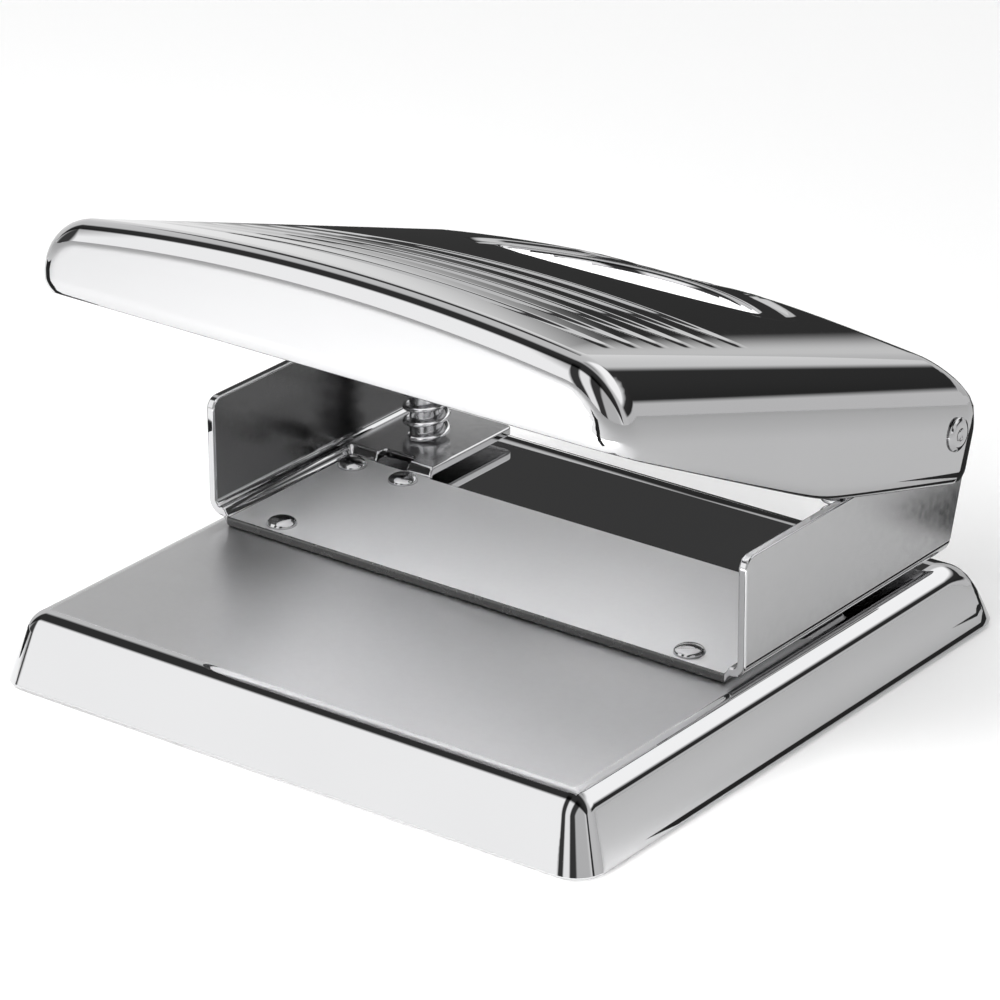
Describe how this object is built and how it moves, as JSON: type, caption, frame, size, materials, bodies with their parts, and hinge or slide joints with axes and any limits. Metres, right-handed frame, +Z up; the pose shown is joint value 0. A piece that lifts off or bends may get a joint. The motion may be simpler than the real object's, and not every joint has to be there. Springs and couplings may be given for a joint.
{
  "type": "two-hole punch",
  "caption": "Chromed desk punch: pressed base, folded frame with upright ears, sprung punches and a hinged, crowned handle with grip grooves and an oval window.",
  "frame": {"origin": "middle of the footprint, on the surface the punch stands on", "axes": "+Z up, +X to the right, +Y to the rear, where the hinge is and the paper goes in"},
  "size_m": [0.11, 0.1093, 0.0752],
  "materials": {
    "chrome_base": "mirror-bright chrome plate on pressed steel",
    "chrome_frame": "mirror-bright chrome plate on folded steel sheet",
    "chrome_handle": "mirror-bright chrome plate on pressed steel",
    "chrome_fastener": "bright plated rivets and axle",
    "spring_steel": "bright drawn wire and ground steel",
    "hardened_steel": "dark hardened steel",
    "black_plastic": "fine-grained moulded plastic",
    "foot_rubber": "matt rubber",
    "nylon": "natural nylon"
  },
  "bodies": {
    "base": {"base_pan": "chrome_base", "die_plate_left": "hardened_steel", "die_plate_right": "hardened_steel", "frame": "chrome_frame", "front_rivets": "chrome_fastener", "guide_rivets": "chrome_fastener", "return_spring_left": "spring_steel", "return_spring_right": "spring_steel"},
    "lever": {"handle": "chrome_handle", "press_lug_left": "spring_steel", "press_lug_right": "spring_steel", "pivot_axle": "chrome_fastener", "pivot_washer_left": "nylon", "pivot_washer_right": "nylon"},
    "left_punch": {"punch_left": "spring_steel", "spring_cup_left": "spring_steel", "retaining_ring_left": "hardened_steel"},
    "right_punch": {"punch_right": "spring_steel", "spring_cup_right": "spring_steel", "retaining_ring_right": "hardened_steel"},
    "cover": {"chip_cover": "black_plastic", "foot_pads": "foot_rubber"}
  },
  "joints": [
    {"name": "handle_press", "type": "hinge", "parent": "base", "child": "lever", "pos_m": [0, 0.0423, 0.0347], "axis": [1, 0, 0], "range_deg": [0, 22], "stiffness_Nm_per_rad": 0.36, "springref_deg": -31.51},
    {"name": "left_punch_slide", "type": "slide", "parent": "base", "child": "left_punch", "axis": [0, 0, -1], "range_m": [0, 0.0042], "deforming": ["return_spring_left"]},
    {"name": "right_punch_slide", "type": "slide", "parent": "base", "child": "right_punch", "axis": [0, 0, -1], "range_m": [0, 0.0042], "deforming": ["return_spring_right"]},
    {"name": "cover_release", "type": "slide", "parent": "base", "child": "cover", "axis": [0, 0, -1], "range_m": [0, 0.015]}
  ],
  "couplings": [
    {"joint": "left_punch_slide", "follows": "handle_press", "m_per_rad": 0.0104},
    {"joint": "right_punch_slide", "follows": "handle_press", "m_per_rad": 0.0104}
  ]
}
